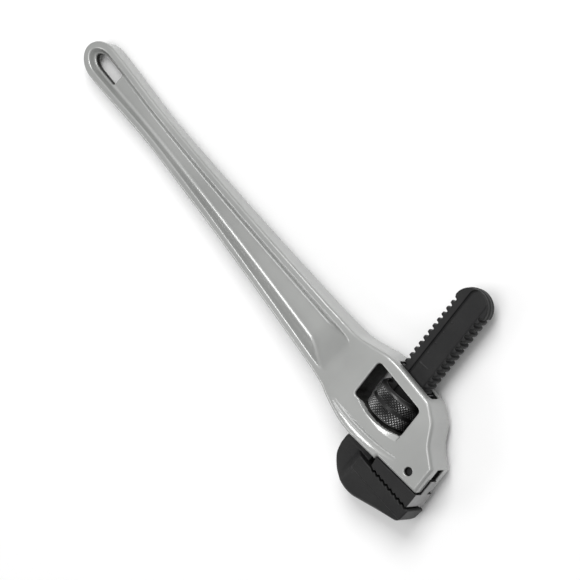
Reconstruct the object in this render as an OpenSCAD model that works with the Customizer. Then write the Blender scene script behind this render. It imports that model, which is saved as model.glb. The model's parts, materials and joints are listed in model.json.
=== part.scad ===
// Offset pipe wrench lying on its side: the handle runs along X, the jaw shank
// stands almost square to it along Y, and the thickness of everything is Z.
// The working origin is the centre of the adjusting nut. The head is drawn in
// its own frame, u across the shank and v along it, and then turned by the lean.

/* [Handle] */
// Hanging end of the handle to the centre of the nut
handle_reach = 512; // [430:1:620]
// Width across the hanging loop
end_width = 40; // [34:0.5:50]
// Width at the narrowest place, behind the loop
waist_width = 35; // [30:0.5:44]
// Width where the handle meets the head
root_width = 57; // [46:0.5:62]
// Thickness at the hanging loop
end_thickness = 22.5; // [18:0.5:28]
// Thickness at the waist
waist_thickness = 19.5; // [16:0.5:26]
// Thickness where the handle meets the head
root_thickness = 33; // [26:0.5:40]
// Thickness of the web between the flanges
web_thickness = 7.5; // [5:0.5:12]
// Width of each flange
flange_width = 7.5; // [5:0.5:10]
// Length of the through slot in the hanging loop
hang_slot_length = 42; // [30:1:60]
// Offset of the handle's centre line below the centre of the nut
handle_drop = 10.9; // [4:0.1:16]
// Lean of the jaw shank from square to the handle, in degrees
shank_lean = 6.8; // [0:0.1:10]

/* [Head] */
// Thickness of the head
head_thickness = 40; // [34:0.5:46]
// Nut centre to the flat that the jaws face
jaw_side = 49.8; // [42:0.2:60]
// Nut centre to the side that the shank comes out of, on the shank axis
rack_side = 35; // [30:0.2:44]
// Nut centre to the end face of the head
head_end = 78; // [74:0.2:92]
// Nut centre to the end of the window on the handle's side
window_handle_side = 34.4; // [31:0.1:40]
// Nut centre to the end of the window on the jaw's side
window_end_side = 30.3; // [29:0.1:36]
// Gap between nut and window on the side away from the jaws
window_spare = 6.9; // [3:0.1:9]
// Gap between nut and window on the side it bears on
nut_play = 1; // [0.4:0.1:2]

/* [Jaw shank] */
// Diameter over the thread crests
thread_diameter = 40.4; // [36:0.2:43]
// Depth of the thread
thread_depth = 3.2; // [2:0.1:4]
// Pitch of the thread
thread_pitch = 7.4; // [6:0.1:9]
// Thickness of the flat shank
shank_thickness = 18; // [14:0.5:22]
// How far the jaws open
jaw_travel = 90; // [50:1:92]
// Depth of the sunk panel on each flat of the shank
panel_depth = 0.8; // [0.4:0.1:1.5]

/* [Nut] */
// Outside diameter of the adjusting nut
nut_diameter = 49.6; // [48:0.2:56]
// Height of the adjusting nut
nut_height = 30; // [24:0.5:34]

/* [Jaws] */
// Width of both toothed jaws
jaw_width = 38; // [30:0.5:42]
// Pitch of the teeth
tooth_pitch = 6; // [4:0.5:9]
// Depth of the teeth
tooth_depth = 1.8; // [1:0.1:3]
// Thickness of the heel jaw at its thin end
heel_thickness = 12; // [9:0.2:16]
// Rise of the tooth line along the jaws, in degrees
tooth_slope = 5; // [0:0.5:8]
// Diameter of the hole for the heel jaw pin
pin_hole_diameter = 8.7; // [6:0.1:10]

/* [Hidden] */
fine = 64;

// Clearances
seat_gap = 0.4;          // heel jaw to its seat, and tooth line to tooth line when shut
thread_clear = 0.05;     // nut bore over the thread crests, on the radius
pin_clear = 0.05;        // pin in its hole, on the radius
slot_clear = 0.6;        // tongue in its slot, each side
shank_clear = 1.5;       // shank in its passages, each flat
rock_room = 7.3;         // rack side passage, on the side the shank rocks to
rock_angle = 3;          // largest rock of the hook jaw, in degrees

// Handle stations, measured from the hanging end
end_nose = 27;
waist_at = 128;
root_at = 421;
head_at = 464;
recess_start = 8.5;
recess_end = 436;
web_start = recess_start + hang_slot_length;
web_ledge = 0.8;         // rim of the web left around the through slot

// Head
head_half = head_thickness / 2;
shank_half = shank_thickness / 2;
crest_r = thread_diameter / 2;
root_r = crest_r - thread_depth;
nut_r = nut_diameter / 2;
nut_half = nut_height / 2;
window_low = -(nut_half + nut_play);
window_high = nut_half + window_spare;
side_fall = tan(shank_lean);            // the rack side runs parallel to the handle
heel_seat = -(jaw_side - 3.8);
heel_start = 23.4;
passage_z = shank_half + shank_clear;
passage_left = -(crest_r + 2.6);
passage_right = crest_r + 1.8;

// Heel jaw and hook
heel_top = heel_seat - seat_gap;
tooth_start = heel_start + 2.6;
heel_end = head_end + 2.2;
heel_bottom = heel_top - heel_thickness;
jaw_half = jaw_width / 2;
hook_half = jaw_half - 0.5;
tongue_half = 6.6;
slot_half = tongue_half + slot_clear;
slot_start = head_end - 38;
slot_top = heel_seat + 29.5;
tongue_start = slot_start + slot_clear + 1.4;
tongue_top = slot_top - 8.5;
tongue_step = 4.8;
pin_r = pin_hole_diameter / 2 - pin_clear;
pin_at = [head_end - 19, heel_seat + 11.8];
pin_length = head_thickness - 9;

// Shank stations along v
thread_start = -nut_half - 6.2;
dome_at = thread_start + thread_pitch * 20;
dome_rise = 18.2;
dome_steps = 3;
plain_r = crest_r - 1.2;
neck_half = plain_r - 1;
shank_foot = -(jaw_side + 16);

// Leaf, rivet and coil
leaf_thick = 1.2;
leaf_half = 5;
leaf_u = nut_r + 1.9;
leaf_pocket_u = leaf_u + leaf_thick / 2 + 0.15;
rivet_r = 1.5;
rivet_hole = rivet_r + 0.3;
rivet_v = window_low - 4;
coil_r = 4.2;
coil_wire = 1.3;
coil_turns = 5;
coil_v = window_low - 17;
coil_pocket_r = coil_r + coil_wire / 2 + 0.4;
coil_pocket_depth = 18;

function lerp(a, b, t) = a + (b - a) * t;
function ease(t) = (1 - cos(180 * t)) / 2;
function to_handle(p) = [p[0] * cos(shank_lean) - p[1] * sin(shank_lean),
                         p[0] * sin(shank_lean) + p[1] * cos(shank_lean)];
function to_head(p) = [p[0] * cos(shank_lean) + p[1] * sin(shank_lean),
                       -p[0] * sin(shank_lean) + p[1] * cos(shank_lean)];
function unit2(p) = p / norm(p);

// One corner of an outline, [x, y, radius], as the points of its arc
function corner(a, b, c) =
    b[2] == 0 ? [[b[0], b[1]]] :
    let (p = [b[0], b[1]], d1 = unit2([a[0], a[1]] - p), d2 = unit2([c[0], c[1]] - p),
         half = acos(max(-1, min(1, d1 * d2))) / 2,
         reach = b[2] / tan(half),
         centre = p + unit2(d1 + d2) * b[2] / sin(half),
         s = p + d1 * reach - centre, e = p + d2 * reach - centre,
         a0 = atan2(s[1], s[0]), turn = atan2(e[1], e[0]) - a0,
         sweep = turn > 180 ? turn - 360 : turn < -180 ? turn + 360 : turn,
         steps = max(2, ceil(abs(sweep) / 9)))
    [for (i = [0:steps]) centre + b[2] * [cos(a0 + sweep * i / steps), sin(a0 + sweep * i / steps)]];
function rounded(pts) = let (n = len(pts))
    [for (i = [0:n - 1]) each corner(pts[(i + n - 1) % n], pts[i], pts[(i + 1) % n])];

// Half width of the handle at a distance from its hanging end
function handle_half(d) =
    d < end_nose ? end_width / 2 * sqrt(1 - pow((end_nose - d) / end_nose, 2)) :
    d < waist_at ? lerp(end_width, waist_width, ease((d - end_nose) / (waist_at - end_nose))) / 2 :
    lerp(waist_width, root_width, pow(min(1, (d - waist_at) / (root_at - waist_at)), 1.5)) / 2;

handle_stations = concat([for (i = [0:8]) end_nose * (1 - cos(i * 90 / 8))],
                         [for (i = [1:8]) lerp(end_nose, waist_at, i / 8)],
                         [for (i = [1:14]) lerp(waist_at, root_at, i / 14)], [head_at]);
function handle_side(side, inset, d) =
    [d - handle_reach, -handle_drop + side * max(0.5, handle_half(d) - inset)];
function handle_outline(inset, from, to) = let (
    all = concat([from], [for (s = handle_stations) if (s > from && s < to) s], [to]))
    concat([for (d = all) handle_side(1, inset, d)],
           [for (i = [len(all) - 1:-1:0]) handle_side(-1, inset, all[i])]);

// Outline of the head, in its own frame
head_outline = rounded([
    concat(to_head([-118, -handle_drop - root_width * 0.42]), 0),
    [-82, -30, 150], [-28, -jaw_side, 80], [heel_start, -jaw_side, 1.5], [heel_start + 0.6, heel_seat, 0],
    [head_end, heel_seat, 2], [head_end, heel_seat + 30, 2], [60, -1, 30], [49, 18.5, 20],
    [33, rack_side - 33 * side_fall, 22], [-33, rack_side + 33 * side_fall - 0.6, 50], [-76, 27.8, 60],
    concat(to_head([-118, -handle_drop + root_width * 0.42]), 0)]);
window_outline = rounded([
    [-window_handle_side, window_low, 3.5], [window_end_side, window_low, 4.5],
    [window_end_side, window_high - window_end_side * side_fall, 4.5],
    [-window_handle_side, window_high + window_handle_side * side_fall, 4.5]]);

// Tooth line of the jaws: v at a given u, and saw teeth along it, which go from one
// height above the line to another in the first part of each pitch and back in the rest
function tooth_line(u) = heel_bottom - (u - tooth_start) * tan(tooth_slope);
function teeth(from, to, start_height, turn_height) =
    let (n = floor((to - from) / tooth_pitch), p = (to - from) / n)
    [for (i = [0:n - 1]) each [[from + i * p, tooth_line(from + i * p) + start_height],
                               [from + (i + 0.65) * p, tooth_line(from + (i + 0.65) * p) + turn_height]]];

hook_tip = [83.6 - 78 + head_end, -64.4 + 49.8 - jaw_side];
pad_start = heel_start - 13.4;
ridge_v = hook_tip[1] - 10;
back_v = hook_tip[1] - 33;
slope_rise = (hook_half - shank_half) / (ridge_v - back_v);
hook_outline = rounded([
    [-neck_half, tooth_line(-neck_half) - seat_gap, 0], [-neck_half, hook_tip[1] - 32.6, 36],
    [24, hook_tip[1] - 33.6, 30], [hook_tip[0] - 2.3, hook_tip[1] - 16, 9],
    [hook_tip[0], tooth_line(hook_tip[0]) - seat_gap, 1.5]]);

// Box of the whole wrench, from the outlines, which sets the origin
hook_xy = [for (p = hook_outline) to_handle(p)];
x_low = -handle_reach;
x_high = max([for (p = hook_xy) p[0]]);
y_low = min([for (p = hook_xy) p[1]]);
y_high = dome_at * cos(shank_lean) + norm([dome_rise * cos(shank_lean), crest_r * sin(shank_lean)]);
base_shift = [-(x_low + x_high) / 2, -(y_low + y_high) / 2, nut_r];

module place() { translate(base_shift) children(); }
module place_head() { place() rotate([0, 0, shank_lean]) children(); }
module slab(half, points) { translate([0, 0, -half]) linear_extrude(2 * half) polygon(points); }
module along_shank(from, to) {
    translate([0, from, 0]) rotate([-90, 0, 0]) linear_extrude(to - from) children();
}

// Side view of handle and head, as half thickness along X
module side_profile() {
    top = [[0, end_thickness], [44, end_thickness], [waist_at, waist_thickness], [root_at, root_thickness],
           [head_at, head_thickness], [handle_reach + 120, head_thickness]];
    translate([-handle_reach, 200, 0]) rotate([90, 0, 0]) linear_extrude(400)
        polygon(concat([for (p = top) [p[0], p[1] / 2]],
                       [for (i = [len(top) - 1:-1:0]) [top[i][0], -top[i][1] / 2]]));
}

module handle_recess() {
    slab(head_thickness, handle_outline(flange_width + web_ledge, recess_start + web_ledge, web_start));
    for (side = [-1, 1])
        translate([0, 0, side * (web_thickness / 2 + head_thickness)])
            slab(head_thickness, handle_outline(flange_width, recess_start, recess_end));
}

module shank_passages() {
    along_shank(0, rack_side + 20) polygon(rounded([
        [-(crest_r + 1.3), -passage_z, 2], [crest_r + rock_room, -passage_z, 6],
        [crest_r + rock_room, passage_z, 6], [-(crest_r + 1.3), passage_z, 2]]));
    along_shank(-jaw_side - 10, 0) polygon(rounded([
        [passage_left, -passage_z, 2], [passage_right, -passage_z, 2],
        [passage_right, passage_z, 2], [passage_left, passage_z, 2]]));
}

module handle_housing() {
    color("silver") place() difference() {
        intersection() {
            union() {
                slab(head_half, handle_outline(0, 0, head_at));
                rotate([0, 0, shank_lean]) slab(head_half, head_outline);
            }
            side_profile();
        }
        handle_recess();
        rotate([0, 0, shank_lean]) {
            slab(head_thickness, window_outline);
            shank_passages();
            // slot for the tongue of the heel jaw, open to the jaw side and the end
            translate([slot_start, heel_seat - 10, -slot_half])
                cube([60, slot_top - heel_seat + 10, 2 * slot_half]);
            translate([pin_at[0], pin_at[1], -head_thickness])
                cylinder(h = 2 * head_thickness, d = pin_hole_diameter, $fn = fine);
            // pocket for the root of the leaf, its rivet hole, and the pocket for the coil
            translate([passage_right - 3, window_low - 9.5, -leaf_half - 1])
                cube([leaf_pocket_u - passage_right + 3, 12, 2 * leaf_half + 2]);
            translate([leaf_pocket_u - 1, rivet_v, 0]) rotate([0, 90, 0])
                cylinder(h = 7, r = rivet_r, $fn = fine);
            translate([passage_left + 1, coil_v, 0]) rotate([0, -90, 0])
                cylinder(h = coil_pocket_depth + 1, r = coil_pocket_r, $fn = fine);
        }
    }
}

// Radius against length of the shank: plain foot, ridged length, stepped dome
function ridge(i) = let (v = thread_start + i * thread_pitch, p = thread_pitch)
    [[root_r, v], [root_r, v + 0.15 * p], [crest_r, v + 0.38 * p], [crest_r, v + 0.66 * p],
     [root_r, v + 0.89 * p]];
ridge_count = round((dome_at - thread_start) / thread_pitch);
dome = [for (i = [0:dome_steps * 2])
    let (k = floor((i + 1) / 2), a = k * 24, lip = i % 2 == 0 ? 1 : 0.94)
    [crest_r * cos(a) * lip, dome_at + dome_rise * sin(a)]];
shank_profile = concat([[0, shank_foot], [plain_r, shank_foot], [plain_r, thread_start - 2]],
    [for (i = [0:ridge_count - 1]) each ridge(i)], dome, [[0, dome_at + dome_rise]]);

module shank() {
    difference() {
        intersection() {
            rotate([-90, 0, 0]) rotate_extrude($fn = fine) polygon(shank_profile);
            translate([-crest_r - 1, shank_foot, -shank_half])
                cube([2 * crest_r + 2, dome_at + dome_rise - shank_foot + 1, shank_thickness]);
        }
        for (side = [-1, 1]) translate([0, 0, side * (shank_half - panel_depth + 5)])
            slab(5, rounded([[-9, -nut_half, 2], [9, -nut_half, 2],
                             [9, dome_at + 7, 7], [-9, dome_at + 7, 7]]));
    }
}

// What is cut from the full width of the hook on one side: the neck left of the
// toothed pad, and a slope from the ridge behind the teeth down to the back
module hook_side_cut() {
    far_v = hook_tip[1] - 60;
    translate([-60, far_v, shank_half]) cube([60 + pad_start, heel_bottom + 20 - far_v, 20]);
    translate([pad_start - 2, 0, 0]) rotate([90, 0, 90]) linear_extrude(120)
        polygon([[ridge_v + 3, hook_half + 3 * slope_rise], [back_v - 3, shank_half - 3 * slope_rise],
                 [far_v, shank_half - 3 * slope_rise], [far_v, hook_half + 20],
                 [ridge_v + 3, hook_half + 20]]);
}

module hook_jaw() {
    cuts = concat([[tooth_start, tooth_line(tooth_start) + 1]],
                  teeth(tooth_start, heel_end, 0.2 - seat_gap, -seat_gap - tooth_depth),
                  [[heel_end, tooth_line(heel_end) + 0.2 - seat_gap], [heel_end, tooth_line(heel_end) + 1]]);
    color("#333333") place_head() union() {
        shank();
        difference() {
            slab(hook_half, hook_outline);
            slab(hook_half + 1, cuts);
            hook_side_cut();
            mirror([0, 0, 1]) hook_side_cut();
        }
    }
}

module adjusting_nut() {
    groove_at = -0.9;
    profile = [[crest_r + thread_clear, -nut_half], [nut_r - 1.2, -nut_half], [nut_r, -nut_half + 1.2],
               [nut_r, groove_at - 1.3], [nut_r - 0.9, groove_at - 0.7], [nut_r - 0.9, groove_at + 0.7],
               [nut_r, groove_at + 1.3], [nut_r, nut_half - 4], [nut_r - 0.8, nut_half - 3.4],
               [nut_r - 2.2, nut_half], [crest_r + thread_clear, nut_half]];
    color("#2b2b2b") place_head() rotate([-90, 0, 0]) rotate_extrude($fn = fine) polygon(profile);
}

module heel_jaw() {
    plate = concat([[heel_start + 0.6, heel_top], [tooth_start - 0.4, heel_bottom]],
                   teeth(tooth_start, heel_end, tooth_depth, 0),
                   [[heel_end, tooth_line(heel_end) + tooth_depth], [heel_end, heel_top]]);
    color("#303030") place_head() difference() {
        union() {
            slab(jaw_half, plate);
            translate([tongue_start, heel_top - 1, -tongue_half])
                cube([head_end - 8 - tongue_start, tongue_top - heel_top + 1, 2 * tongue_half]);
            translate([head_end - 9, heel_top - 1, -tongue_half])
                cube([heel_end - head_end + 9, tongue_top - tongue_step - heel_top + 1, 2 * tongue_half]);
        }
        translate([pin_at[0], pin_at[1], -head_half])
            cylinder(h = head_thickness, d = pin_hole_diameter, $fn = fine);
    }
}

module heel_jaw_pin() {
    color("#222222") place_head() translate([pin_at[0], pin_at[1], -pin_length / 2]) {
        cylinder(h = pin_length, r = pin_r, $fn = fine);
    }
}

// A strip of even thickness along a line of points, as an outline
function strip(line, t) = let (n = len(line),
    dir = [for (i = [0:n - 1]) unit2(line[min(n - 1, i + 1)] - line[max(0, i - 1)])])
    concat([for (i = [0:n - 1]) line[i] + t / 2 * [-dir[i][1], dir[i][0]]],
           [for (i = [n - 1:-1:0]) line[i] - t / 2 * [-dir[i][1], dir[i][0]]]);

module flat_spring() {
    nose = crest_r + leaf_thick / 2 + 0.6;
    line = [[leaf_u, window_low - 8.5], [leaf_u, nut_half - 2], [leaf_u - 0.6, nut_half + 1.4],
            [nose + 1, rack_side - 12], [nose, rack_side - 8.5], [nose + 0.3, rack_side - 6],
            [nose + 1.2, rack_side - 4]];
    color("#4a4a4c") place_head() difference() {
        slab(leaf_half, strip(line, leaf_thick));
        translate([leaf_u - 3, rivet_v, 0]) rotate([0, 90, 0]) cylinder(h = 6, r = rivet_hole, $fn = fine);
    }
}

module flat_spring_rivet() {
    head_u = leaf_u - leaf_thick / 2 - 0.6;
    color("#6a6a6c") place_head() translate([0, rivet_v, 0]) rotate([0, 90, 0]) {
        translate([0, 0, head_u - 0.1]) cylinder(h = leaf_pocket_u + 6 - head_u, r = rivet_r, $fn = fine);
        translate([0, 0, head_u - 1.1]) cylinder(h = 1.1, r = 2.8, $fn = fine);
    }
}

// Tube of round section along a path of points, as one closed mesh
module tube(path, r, sides) {
    n = len(path);
    tangent = [for (i = [0:n - 1]) let (d = path[min(n - 1, i + 1)] - path[max(0, i - 1)]) d / norm(d)];
    rings = [for (i = [0:n - 1])
             let (t = tangent[i], a = cross(t, [1, 0, 0]), b = a / norm(a), c = cross(t, b))
             for (k = [0:sides - 1]) path[i] + r * (b * cos(360 * k / sides) + c * sin(360 * k / sides))];
    skin = [for (i = [0:n - 2]) for (k = [0:sides - 1])
            let (m = (k + 1) % sides, a = i * sides + k, b = i * sides + m, c = a + sides, d = b + sides)
            each [[a, b, d], [a, d, c]]];
    polyhedron(points = rings, faces = concat(skin, [[for (k = [sides - 1:-1:0]) k]],
               [[for (k = [0:sides - 1]) (n - 1) * sides + k]]));
}

module coil_spring() {
    start_u = passage_left - coil_pocket_depth + 1;
    length = -(crest_r + 0.5) - coil_wire - start_u;
    steps = coil_turns * 14;
    path = [for (i = [0:steps]) let (a = 360 * coil_turns * i / steps)
            [start_u + length * i / steps, coil_v + coil_r * cos(a), coil_r * sin(a)]];
    color("#7a7a7c") place_head() tube(path, coil_wire / 2, 8);
}

handle_housing();
hook_jaw();
adjusting_nut();
heel_jaw();
heel_jaw_pin();
flat_spring();
flat_spring_rivet();
coil_spring();
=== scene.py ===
import json
import math
import bpy
import numpy as np
from mathutils import Matrix, Vector


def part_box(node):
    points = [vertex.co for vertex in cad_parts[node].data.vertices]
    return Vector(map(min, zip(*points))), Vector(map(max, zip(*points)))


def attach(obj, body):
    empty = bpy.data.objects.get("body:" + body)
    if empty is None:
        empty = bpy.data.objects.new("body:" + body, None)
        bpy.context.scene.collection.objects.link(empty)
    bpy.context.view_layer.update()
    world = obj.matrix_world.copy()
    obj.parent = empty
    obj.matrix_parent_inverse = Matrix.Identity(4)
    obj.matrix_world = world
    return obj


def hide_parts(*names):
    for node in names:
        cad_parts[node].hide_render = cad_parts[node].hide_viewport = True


# Looks of the offset pipe wrench. Shapes are worked out in millimetres from the centre of
# the adjusting nut: x, y along and across the handle, or u, v across and along the jaw shank.
mm = 0.001

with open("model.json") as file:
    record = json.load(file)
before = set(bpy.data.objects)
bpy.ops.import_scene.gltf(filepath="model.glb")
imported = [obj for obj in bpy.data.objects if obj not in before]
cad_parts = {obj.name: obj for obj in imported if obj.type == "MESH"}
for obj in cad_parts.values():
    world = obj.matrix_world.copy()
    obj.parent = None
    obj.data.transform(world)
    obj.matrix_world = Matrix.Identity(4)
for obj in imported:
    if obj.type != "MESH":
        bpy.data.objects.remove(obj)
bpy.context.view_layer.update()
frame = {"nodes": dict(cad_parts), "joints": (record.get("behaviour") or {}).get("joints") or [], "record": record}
print("frame loaded")

nutLow, nutHigh = (np.array(corner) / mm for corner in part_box("adjusting_nut"))
housingLow = np.array(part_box("handle_housing")[0]) / mm
origin = (nutLow + nutHigh) / 2
spinJoint = next(joint for joint in frame["joints"] if joint["name"] == "nut_spin")
spinRatio = next(link["ratio"] for link in frame["record"]["behaviour"]["couplings"])
vAxis = np.array(spinJoint["axis"])
uAxis = np.array([vAxis[1], -vAxis[0], 0.0])
zAxis = np.array([0, 0, 1.0])
leanCos, leanSin = uAxis[0], uAxis[1]

shankSize = {
    "crest": 20.05,         # radius over the thread crests
    "root": 17.0,
    "half": 9.0,            # half thickness of the flat shank
    "pitch": 2 * math.pi / spinRatio / mm,
    "phase": 49.2,          # v of a crest on the handle's side
    "threadFrom": -21.2,
    "threadTo": 124.8,      # centre of the round end
    "domeRise": 18.8,
    "panelFrom": -8.2,
    "panelTo": 13.6,
    "panelDepth": 0.8,
    "panelCorner": 9.5,
    "edge": 0.7,
    "footRadius": 19.0,
    "footTo": -66.0,
    "ridgeSide": 3.6,       # middle of the groove beside the round end's ridge
    "markLine": 50.0,       # v of the long graduation line
    "markPitch": 12.7,
    "markFrom": 46.0,
    "markTo": 105.0,
    "markHeight": 0.5,
}
jawSize = {
    "side": -49.8,          # flat of the head that the jaws face
    "seat": -46.0,          # seat of the heel jaw
    "end": 78.0,            # end face of the head
    "heelFrom": 24.0,
    "heelHalf": 19.0,
    "hookHalf": 18.5,
    "gap": 0.4,
    "heelThick": 12.0,
    "toothFrom": 26.0,
    "toothTo": 80.2,
    "toothPitch": 6.0,
    "toothDepth": 1.8,
    "slope": math.tan(math.radians(5)),
}


# ---- shapes as signed distances, negative inside, in millimetres

def roundedMax(a, b, radius):
    # what two shapes share, with a round edge of that radius between them
    corner = np.hypot(np.maximum(a + radius, 0), np.maximum(b + radius, 0))
    return np.minimum(np.maximum(a, b), -radius) + corner


def roundedMin(a, b, radius):
    # two shapes joined, with a fillet of that radius in the corner
    return -roundedMax(-a, -b, radius)


def softMin(a, b, width):
    # the lesser of two heights, blended where they differ by less than the width
    share = np.clip(0.5 + (b - a) / (2 * width), 0, 1)
    return b * (1 - share) + a * share - width * share * (1 - share)


def smoothStep(value):
    value = np.clip(value, 0, 1)
    return value * value * (3 - 2 * value)


def toHead(x, y):
    return x * leanCos + y * leanSin, -x * leanSin + y * leanCos


def toHandle(u, v):
    return u * leanCos - v * leanSin, u * leanSin + v * leanCos


def roundedOutline(corners, turn=5):
    # corners are (x, y, radius); each becomes an arc between the points where it touches its sides
    points = []
    for index, (x, y, radius) in enumerate(corners):
        here = np.array([x, y])
        before = np.array(corners[index - 1][:2]) - here
        after = np.array(corners[(index + 1) % len(corners)][:2]) - here
        before = before / np.hypot(*before)
        after = after / np.hypot(*after)
        if radius == 0:
            points.append(here)
            continue
        half = math.acos(max(-1, min(1, before @ after))) / 2
        middle = (before + after) / np.hypot(*(before + after))
        centre = here + middle * radius / math.sin(half)
        start = math.atan2(*(here + before * radius / math.tan(half) - centre)[::-1])
        end = math.atan2(*(here + after * radius / math.tan(half) - centre)[::-1])
        sweep = (end - start + math.pi) % (2 * math.pi) - math.pi
        angles = start + sweep * np.linspace(0, 1, max(3, math.ceil(abs(math.degrees(sweep)) / turn)))
        points.extend(centre + radius * np.stack([np.cos(angles), np.sin(angles)], 1))
    return np.array(points)


def curveThrough(points, steps=8):
    # Catmull-Rom curve: between two points a cubic that leaves each one parallel to the line
    # of its neighbours
    points = np.array(points, float)
    ends = np.vstack([2 * points[0] - points[1], points, 2 * points[-1] - points[-2]])
    t = np.linspace(0, 1, steps, endpoint=False)[None, :, None]
    a, b, c, d = (ends[i:len(ends) - 3 + i, None, :] for i in range(4))
    second = 2 * a - 5 * b + 4 * c - d
    third = 3 * b - a - 3 * c + d
    curve = 0.5 * (2 * b + (c - a) * t + second * t ** 2 + third * t ** 3)
    return np.vstack([curve.reshape(-1, 2), points[-1:]])


def outlineDistance(outline, x, y):
    # least distance to the outline's edges, signed by how often a line to the right crosses it
    x, y = np.broadcast_arrays(x, y)
    nearest = np.full(x.shape, 1e12)
    inside = np.zeros(x.shape, bool)
    for (ax, ay), (bx, by) in zip(outline, np.roll(outline, -1, axis=0)):
        ex, ey = bx - ax, by - ay
        length = ex * ex + ey * ey
        if length < 1e-12:
            continue
        share = np.clip(((x - ax) * ex + (y - ay) * ey) / length, 0, 1)
        nearest = np.minimum(nearest, (x - ax - share * ex) ** 2 + (y - ay - share * ey) ** 2)
        if abs(ey) > 1e-12:
            inside ^= ((ay > y) != (by > y)) & (x < ax + (y - ay) * ex / ey)
    return np.where(inside, -1, 1) * np.sqrt(nearest)


def distanceTable(outline, step=0.5, margin=14):
    # the outline's distance worked out once on a fine grid; between its nodes it is interpolated
    low = outline.min(0) - margin
    count = np.ceil((outline.max(0) + margin - low) / step).astype(int) + 1
    xs = low[0] + step * np.arange(count[0])
    ys = low[1] + step * np.arange(count[1])
    table = outlineDistance(outline, xs[:, None], ys[None, :])

    def look(x, y):
        x, y = np.broadcast_arrays(x, y)
        i = np.clip((x - low[0]) / step, 0, count[0] - 1.001)
        j = np.clip((y - low[1]) / step, 0, count[1] - 1.001)
        column, row = i.astype(int), j.astype(int)
        i, j = i - column, j - row
        return ((table[column, row] * (1 - i) + table[column + 1, row] * i) * (1 - j)
                + (table[column, row + 1] * (1 - i) + table[column + 1, row + 1] * i) * j)
    return look


def netSurface(field, xs, ys, zs, steps=3):
    # A closed mesh where the field is 0. Each grid cell that the surface passes through has one vertex,
    # first at the mean of the crossings on its edges, then moved along the field's slope on to the
    # surface. Each grid edge that crosses the surface gives one face, between its four cells.
    axes = (xs, ys, zs)
    values = field(xs[:, None, None], ys[None, :, None], zs[None, None, :])
    inside = values < 0
    cellShape = tuple(len(axis) - 1 for axis in axes)
    total = np.zeros((3, int(np.prod(cellShape))))
    count = np.zeros(int(np.prod(cellShape)))
    quads = []
    for axis in range(3):
        low = [slice(None)] * 3
        high = [slice(None)] * 3
        low[axis] = slice(None, -1)
        high[axis] = slice(1, None)
        low, high = tuple(low), tuple(high)
        node = np.array(np.nonzero(inside[low] != inside[high]))
        share = values[low][tuple(node)] / (values[low][tuple(node)] - values[high][tuple(node)])
        place = np.array([axes[k][node[k]] for k in range(3)])
        place[axis] += share * (axes[axis][node[axis] + 1] - axes[axis][node[axis]])
        others = [k for k in range(3) if k != axis]
        ring = []
        for back in ((0, 0), (1, 0), (1, 1), (0, 1)):
            cell = node.copy()
            cell[others[0]] -= back[0]
            cell[others[1]] -= back[1]
            flat = np.ravel_multi_index(cell, cellShape)
            ring.append(flat)
            count += np.bincount(flat, minlength=len(count))
            for k in range(3):
                total[k] += np.bincount(flat, weights=place[k], minlength=len(count))
        ring = np.stack(ring, 1)
        outward = inside[low][tuple(node)]
        if axis == 1:
            outward = ~outward
        ring[~outward] = ring[~outward][:, ::-1]
        quads.append(ring)
    used = np.nonzero(count)[0]
    number = np.full(len(count), -1)
    number[used] = np.arange(len(used))
    points = (total[:, used] / count[used]).T
    faces = number[np.vstack(quads)]
    reach = np.array([np.diff(axis).min() for axis in axes]).min() * 0.6
    for _ in range(steps):
        slope = slopeAt(field, points)
        size = np.maximum((slope ** 2).sum(1), 0.05)
        move = slope * (-field(*points.T) / size)[:, None]
        length = np.maximum(np.linalg.norm(move, axis=1), 1e-9)
        points = points + move * np.minimum(1, reach / length)[:, None]
    return points, faces, slopeAt(field, points)


def slopeAt(field, points, reach=0.3):
    # central differences of the field along the three axes
    slope = []
    for axis in range(3):
        offset = np.zeros(3)
        offset[axis] = reach
        slope.append(field(*(points + offset).T) - field(*(points - offset).T))
    return np.stack(slope, 1) / (2 * reach)


def spaced(*stretches):
    # grid lines along one axis: each stretch is (from, to, step)
    lines = [np.linspace(a, b, max(2, round((b - a) / step) + 1)) for a, b, step in stretches]
    return np.unique(np.concatenate(lines))


# ---- from points to pieces

def makePiece(name, points, faces, material, normals=None, slots=None):
    # points are in row-frame millimetres; faces are rows of corner numbers
    mesh = bpy.data.meshes.new(name)
    mesh.from_pydata((points * mm).tolist(), [], faces.tolist())
    mesh.polygons.foreach_set("use_smooth", np.ones(len(faces), bool))
    for one in material if isinstance(material, list) else [material]:
        mesh.materials.append(one)
    if slots is not None:
        mesh.polygons.foreach_set("material_index", slots.astype(np.int32))
    mesh.validate()
    if normals is not None and len(mesh.vertices) == len(normals):
        normals = normals / np.maximum(np.linalg.norm(normals, axis=1, keepdims=True), 1e-9)
        mesh.normals_split_custom_set_from_vertices(normals.tolist())
    piece = bpy.data.objects.new(name, mesh)
    bpy.context.scene.collection.objects.link(piece)
    return piece


def fromHandle(points):
    return points + origin


def fromHeadSlope(slope):
    return slope[:, :1] * uAxis + slope[:, 1:2] * vAxis + slope[:, 2:] * zAxis


def fromHead(points):
    return fromHeadSlope(points) + origin


def gridFaces(rows, columns, closedRows=False, closedColumns=True):
    # faces of a grid of points numbered row by row
    i = np.arange(rows if closedRows else rows - 1)[:, None]
    j = np.arange(columns if closedColumns else columns - 1)[None, :]
    nextRow, nextColumn = (i + 1) % rows, (j + 1) % columns
    quads = np.stack(np.broadcast_arrays(i * columns + j, i * columns + nextColumn,
                                         nextRow * columns + nextColumn, nextRow * columns + j), -1)
    return quads.reshape(-1, 4)


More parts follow.
